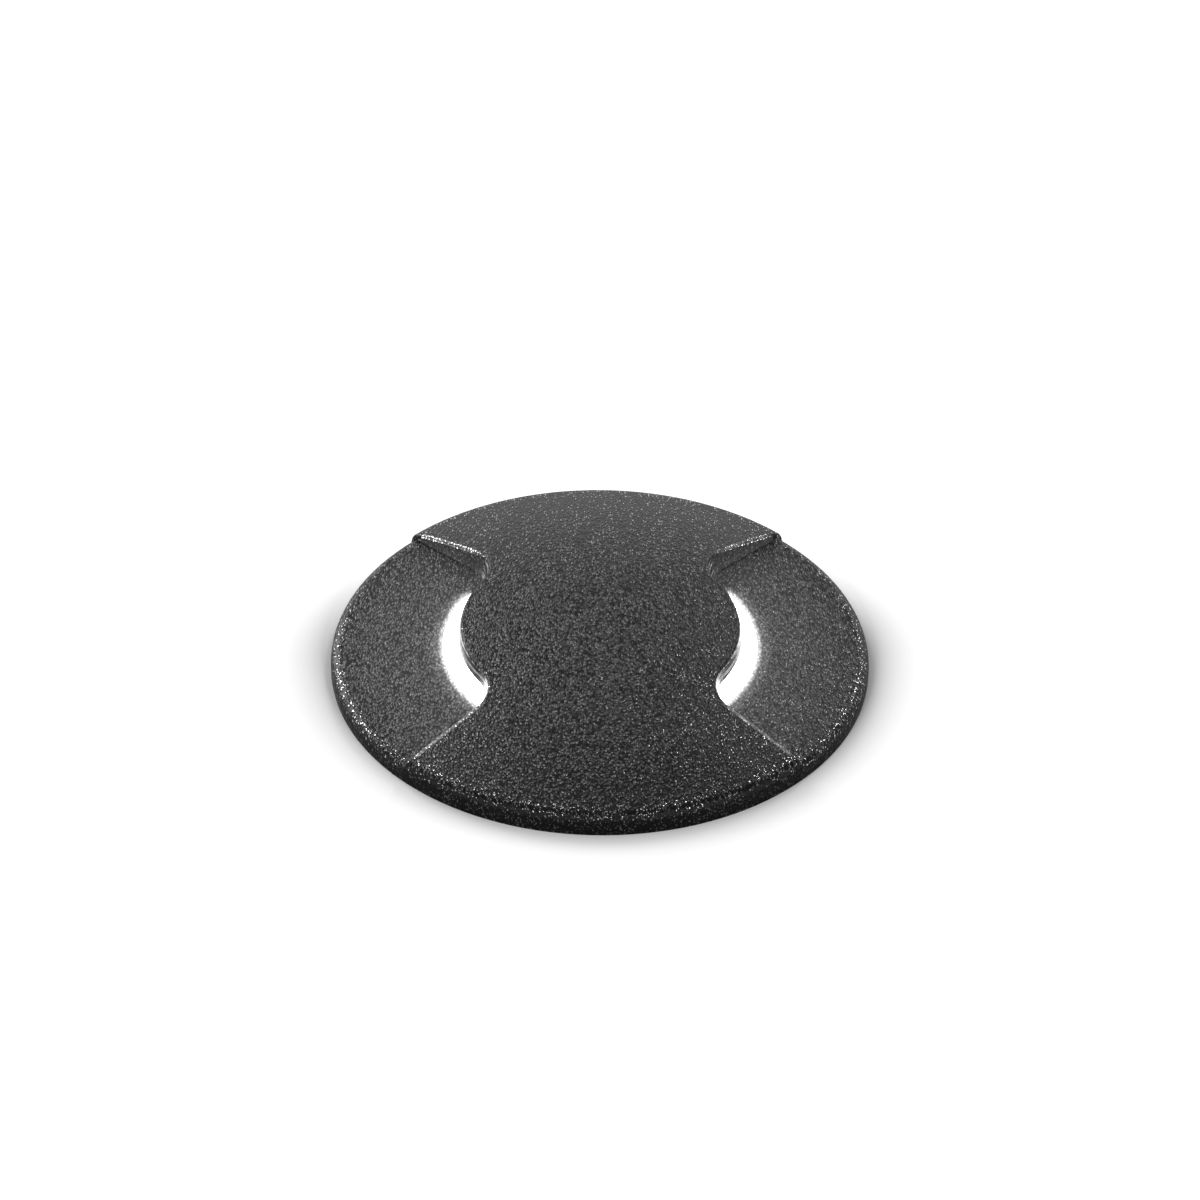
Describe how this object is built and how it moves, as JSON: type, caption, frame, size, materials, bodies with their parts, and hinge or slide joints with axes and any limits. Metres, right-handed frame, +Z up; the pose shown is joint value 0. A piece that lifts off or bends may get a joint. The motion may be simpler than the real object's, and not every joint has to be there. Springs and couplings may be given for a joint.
{
  "type": "recessed ground light",
  "caption": "Round walk-over recessed light: a grained dome cover with opposite light pockets screws onto a watertight housing that hangs in a buried recess box.",
  "frame": {"origin": "centre of the recess box's flange underside, at ground level under the middle of the cover", "axes": "+Z up out of the ground; the two light pockets face +X and -X"},
  "size_m": [0.12, 0.12, 0.1025],
  "materials": {
    "cover_resin": "black resin with a pebbled grain",
    "box_plastic": "fine satin moulding",
    "housing_resin": "fine satin moulding",
    "opal_diffuser": "opal, lit from below",
    "seal_rubber": "soft matt",
    "holder_white": "white moulding",
    "contact_brass": "bright",
    "screw_steel": "zinc plated",
    "terminal_plastic": "natural nylon",
    "wire_brown": "soft insulation",
    "wire_blue": "soft insulation",
    "gland_plastic": "black nylon",
    "lamp_white": "white moulding",
    "circuit_board": "solder mask",
    "driver_parts": "components",
    "heat_aluminium": "mill finish",
    "led_board_white": "white solder mask",
    "led_phosphor": "phosphor",
    "lamp_front_opal": "opal"
  },
  "bodies": {
    "recess_box": {"recess_box": "box_plastic"},
    "luminaire": {"housing": "housing_resin", "neck_seal": "seal_rubber", "grip_ring": "seal_rubber", "diffuser": "opal_diffuser", "lampholder_cap": "holder_white", "lampholder_base": "holder_white", "lampholder_contacts": "contact_brass", "lampholder_screws": "screw_steel", "terminal_block": "terminal_plastic", "terminal_screws": "contact_brass", "terminal_block_screw": "screw_steel", "live_wire": "wire_brown", "neutral_wire": "wire_blue", "gland_body": "gland_plastic", "gland_washer": "seal_rubber", "gland_locknut": "gland_plastic", "gland_seal": "seal_rubber", "gland_nut": "gland_plastic"},
    "cover_seal": {"cover_seal": "seal_rubber"},
    "cover": {"cover": "cover_resin"},
    "lamp": {"lamp_shell": "lamp_white", "lamp_pins": "contact_brass", "lamp_driver_board": "circuit_board", "lamp_driver_parts": "driver_parts", "lamp_heat_plate": "heat_aluminium", "lamp_led_board": "led_board_white", "lamp_leds": "led_phosphor", "lamp_diffuser": "lamp_front_opal"}
  },
  "joints": [
    {"name": "luminaire_lift", "type": "slide", "parent": "recess_box", "child": "luminaire", "axis": [0, 0, 1], "range_m": [0, 0.095]},
    {"name": "cover_rise", "type": "slide", "parent": "luminaire", "child": "cover_seal", "axis": [0, 0, 1], "range_m": [0, 0.009]},
    {"name": "cover_turn", "type": "hinge", "parent": "cover_seal", "child": "cover", "pos_m": [0, 0, 0], "axis": [0, 0, 1], "range_deg": [0, 270]},
    {"name": "lamp_twist", "type": "hinge", "parent": "luminaire", "child": "lamp", "pos_m": [0, 0, -0.02], "axis": [0, 0, 1], "range_deg": [0, 13]}
  ],
  "couplings": [
    {"joint": "cover_rise", "follows": "cover_turn", "m_per_rad": 0.0019099}
  ]
}
